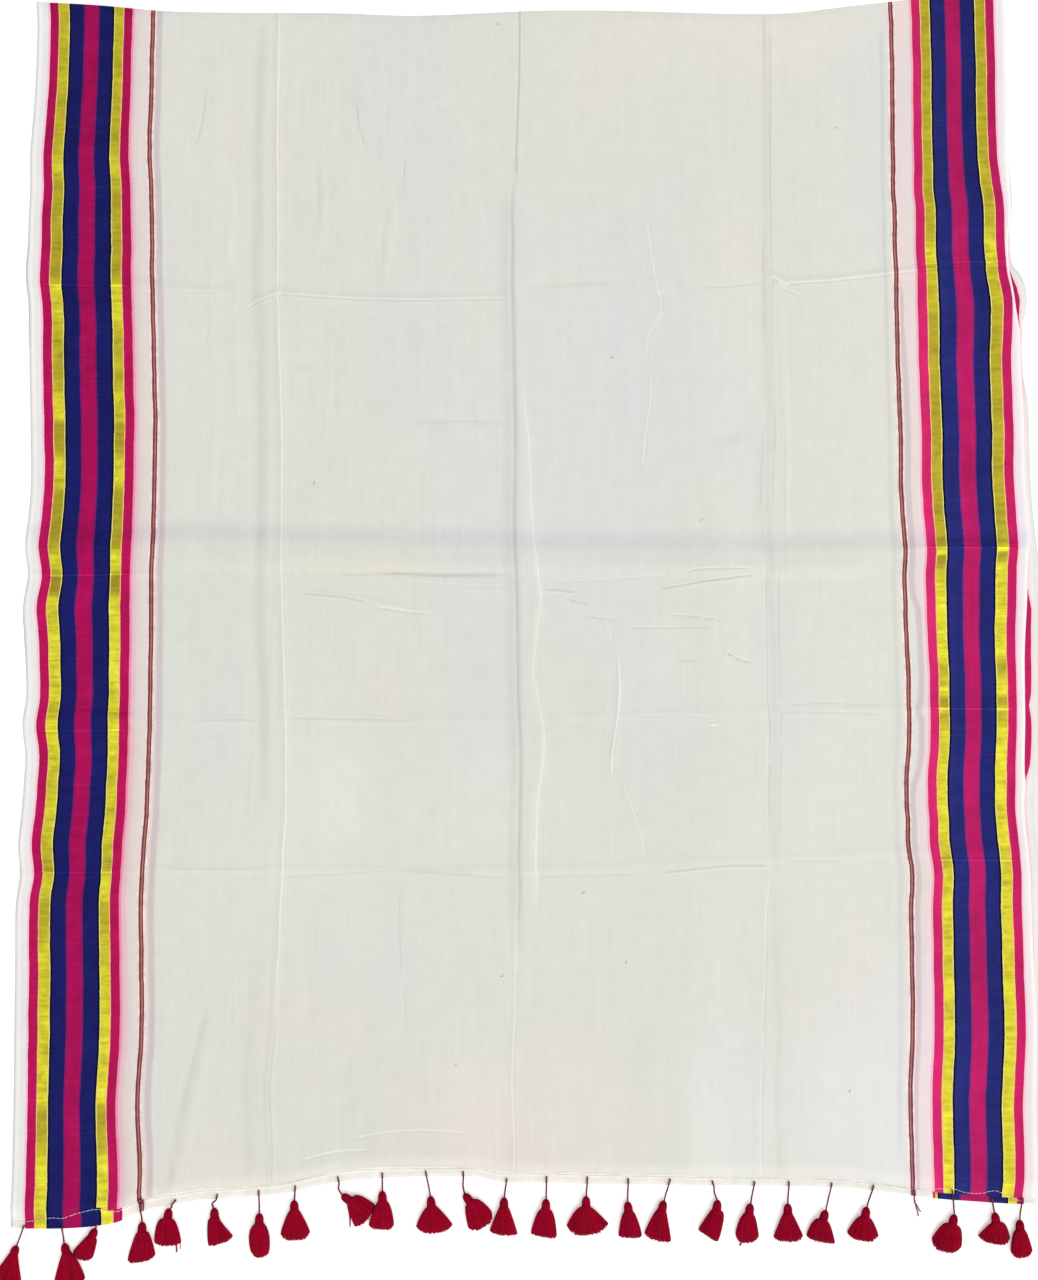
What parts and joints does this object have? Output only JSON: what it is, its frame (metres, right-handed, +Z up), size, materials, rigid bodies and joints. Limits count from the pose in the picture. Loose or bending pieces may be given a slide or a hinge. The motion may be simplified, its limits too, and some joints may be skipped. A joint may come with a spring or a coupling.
{
  "type": "folded saree",
  "caption": "White cotton saree folded into a flat rectangle, its tasselled end on top, with striped woven borders down both long sides; worn draped around the body.",
  "frame": {"origin": "on the surface the saree lies on, under the middle of its box", "axes": "+Z up off the surface, +Y along the cloth's length from the tassels to the upper fold, +X across the cloth's width"},
  "size_m": [1.1978, 1.4934, 0.0084],
  "materials": {
    "layer_cloth": "matte woven cotton",
    "body_cloth": "matte woven cotton with satin stripes",
    "hem_cloth": "matte woven cotton",
    "tassel_thread": "soft cotton thread",
    "cord_thread": "twisted cotton thread"
  },
  "bodies": {
    "root": {"folded_layers": "layer_cloth", "pallu_panel": "body_cloth", "pallu_hem": "hem_cloth", "tassel_01": "tassel_thread", "tassel_02": "tassel_thread", "tassel_03": "tassel_thread", "tassel_04": "tassel_thread", "tassel_05": "tassel_thread", "tassel_06": "tassel_thread", "tassel_07": "tassel_thread", "tassel_08": "tassel_thread", "tassel_09": "tassel_thread", "tassel_10": "tassel_thread", "tassel_11": "tassel_thread", "tassel_12": "tassel_thread", "tassel_13": "tassel_thread", "tassel_14": "tassel_thread", "tassel_15": "tassel_thread", "tassel_16": "tassel_thread", "tassel_17": "tassel_thread", "tassel_18": "tassel_thread", "tassel_19": "tassel_thread", "tassel_20": "tassel_thread", "tassel_21": "tassel_thread", "tassel_22": "tassel_thread", "tassel_23": "tassel_thread", "tassel_24": "tassel_thread", "tassel_25": "tassel_thread", "broken_cord": "cord_thread"}
  },
  "joints": []
}
